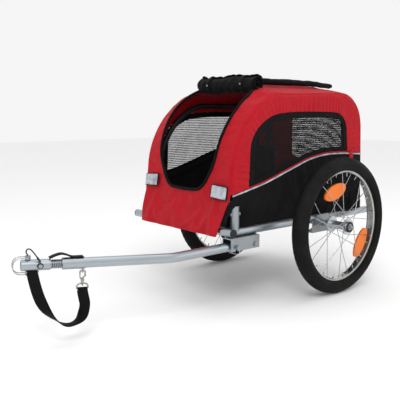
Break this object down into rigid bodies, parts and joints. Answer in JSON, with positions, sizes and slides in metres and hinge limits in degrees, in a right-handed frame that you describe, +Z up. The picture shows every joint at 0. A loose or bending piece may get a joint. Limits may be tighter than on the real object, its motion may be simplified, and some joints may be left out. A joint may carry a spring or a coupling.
{
  "type": "pet bicycle trailer",
  "caption": "Two-wheeled folding pet trailer for a bicycle: tube frame, fabric cabin with mesh windows and front doorway, side drawbar with sprung hitch.",
  "frame": {"origin": "on the ground, at the bottom centre of the bounding box without its free cords", "axes": "+X forward towards the bicycle, +Y to the trailer's left (the drawbar side), +Z up"},
  "size_m": [1.1536, 0.59, 0.631],
  "materials": {
    "tube_silver": "satin silver powder coat",
    "tube_black": "matt black powder coat",
    "zinc": "dull zinc plate",
    "black_plastic": "matt moulded",
    "floor_black": "matt board",
    "red_cloth": "woven polyester, slight sheen",
    "black_cloth": "woven polyester",
    "black_mesh": "open mesh",
    "reflective_silver": "retroreflective silver",
    "tyre_rubber": "matt tread",
    "rim_aluminium": "satin polished",
    "spoke_steel": "bright zinc",
    "hub_plastic": "satin moulded",
    "orange_reflector": "prismatic translucent",
    "button_silver": "satin nickel",
    "webbing_black": "ribbed webbing",
    "spring_steel": "zinc-plated wire",
    "nickel": "nickel plate"
  },
  "bodies": {
    "frame": {"front_cross_tube": "tube_silver", "left_side_tube": "tube_silver", "right_side_tube": "tube_silver", "rear_cross_tube": "tube_silver", "axle_tube": "tube_silver", "tube_plugs": "black_plastic", "hinge_posts": "zinc", "frame_bolts": "zinc", "drawbar_bracket": "zinc", "axle_brackets": "zinc", "wheel_axles": "zinc", "floor_panel": "floor_black", "front_panel": "red_cloth", "roof_panel": "red_cloth", "roof_mesh": "black_mesh", "rear_panel": "red_cloth", "rear_mesh": "black_mesh", "front_roll": "black_cloth", "roof_roll": "black_cloth", "reflective_patches": "reflective_silver"},
    "left_side": {"left_arch": "tube_black", "left_side_panel": "red_cloth", "left_window_border": "black_cloth", "left_window_mesh": "black_mesh", "left_lower_panel": "black_cloth", "left_side_piping": "reflective_silver"},
    "right_side": {"right_arch": "tube_black", "right_side_panel": "red_cloth", "right_window_border": "black_cloth", "right_window_mesh": "black_mesh", "right_lower_panel": "black_cloth", "right_side_piping": "reflective_silver"},
    "left_wheel": {"left_tyre": "tyre_rubber", "left_rim": "rim_aluminium", "left_hub": "hub_plastic", "left_spokes": "spoke_steel", "left_reflectors": "orange_reflector"},
    "right_wheel": {"right_tyre": "tyre_rubber", "right_rim": "rim_aluminium", "right_hub": "hub_plastic", "right_spokes": "spoke_steel", "right_reflectors": "orange_reflector"},
    "left_button": {"left_release_button": "button_silver"},
    "right_button": {"right_release_button": "button_silver"},
    "drawbar": {"drawbar_tube": "tube_silver", "lock_pin": "zinc", "drawbar_sleeve": "tube_silver", "hitch_spring": "spring_steel", "guard_strap": "webbing_black", "safety_strap": "webbing_black", "d_ring": "nickel", "snap_hook": "nickel"},
    "lock_bail": {"lock_pin_bail": "spring_steel"},
    "hitch": {"hitch_head": "tube_silver", "hitch_rivet": "zinc", "hitch_pin": "zinc", "lanyard": "webbing_black", "strap_ring": "spring_steel"},
    "hitch_bail": {"hitch_pin_bail": "spring_steel"},
    "gate": {"hook_gate": "spring_steel"}
  },
  "joints": [
    {"name": "left_wheel_spin", "type": "hinge", "parent": "frame", "child": "left_wheel", "pos_m": [-0.3406, 0.251, 0.2], "axis": [0, 1, 0], "continuous": true},
    {"name": "right_wheel_spin", "type": "hinge", "parent": "frame", "child": "right_wheel", "pos_m": [-0.3406, -0.251, 0.2], "axis": [0, 1, 0], "continuous": true},
    {"name": "drawbar_fold", "type": "hinge", "parent": "frame", "child": "drawbar", "pos_m": [-0.0496, 0.1755, 0.178], "axis": [0, 1, 0], "range_deg": [0, 150]},
    {"name": "hitch_flex", "type": "hinge", "parent": "drawbar", "child": "hitch", "pos_m": [0.48304, 0.09194, 0.19134], "axis": [-0.0459, 0.0146, 0.9988], "range_deg": [-35, 35], "stiffness_Nm_per_rad": 2.5, "deforming": ["hitch_spring", "guard_strap", "safety_strap"]},
    {"name": "hitch_bail_swing", "type": "hinge", "parent": "hitch", "child": "hitch_bail", "pos_m": [0.54031, 0.07379, 0.21196], "axis": [-0.3021, -0.9533, 0], "range_deg": [0, 100]},
    {"name": "lock_bail_swing", "type": "hinge", "parent": "drawbar", "child": "lock_bail", "pos_m": [0.0204, 0.198, 0.178], "axis": [1, 0, 0], "range_deg": [0, 120]},
    {"name": "hook_gate_swing", "type": "hinge", "parent": "drawbar", "child": "gate", "pos_m": [0.43312, 0.10776, 0.15607], "axis": [-0.3021, -0.9533, 0], "range_deg": [0, 25], "stiffness_Nm_per_rad": 0.02},
    {"name": "left_arch_fold", "type": "hinge", "parent": "frame", "child": "left_side", "pos_m": [-0.2496, 0.174, 0.262], "axis": [1, 0, 0], "range_deg": [0, 88], "deforming": ["front_panel", "roof_panel", "roof_mesh", "rear_panel", "rear_mesh", "front_roll", "roof_roll", "reflective_patches", "left_side_panel", "left_window_border", "left_window_mesh", "left_lower_panel", "left_side_piping"]},
    {"name": "right_arch_fold", "type": "hinge", "parent": "frame", "child": "right_side", "pos_m": [-0.2496, -0.174, 0.244], "axis": [1, 0, 0], "range_deg": [-88, 0], "deforming": ["front_panel", "roof_panel", "roof_mesh", "rear_panel", "rear_mesh", "front_roll", "roof_roll", "reflective_patches", "right_side_panel", "right_window_border", "right_window_mesh", "right_lower_panel", "right_side_piping"]},
    {"name": "left_release", "type": "slide", "parent": "frame", "child": "left_button", "axis": [0, -1, 0], "range_m": [0, 0.003], "stiffness_N_per_m": 400},
    {"name": "right_release", "type": "slide", "parent": "frame", "child": "right_button", "axis": [0, 1, 0], "range_m": [0, 0.003], "stiffness_N_per_m": 400}
  ],
  "couplings": [
    {"joint": "right_arch_fold", "follows": "left_arch_fold", "ratio": -1}
  ]
}
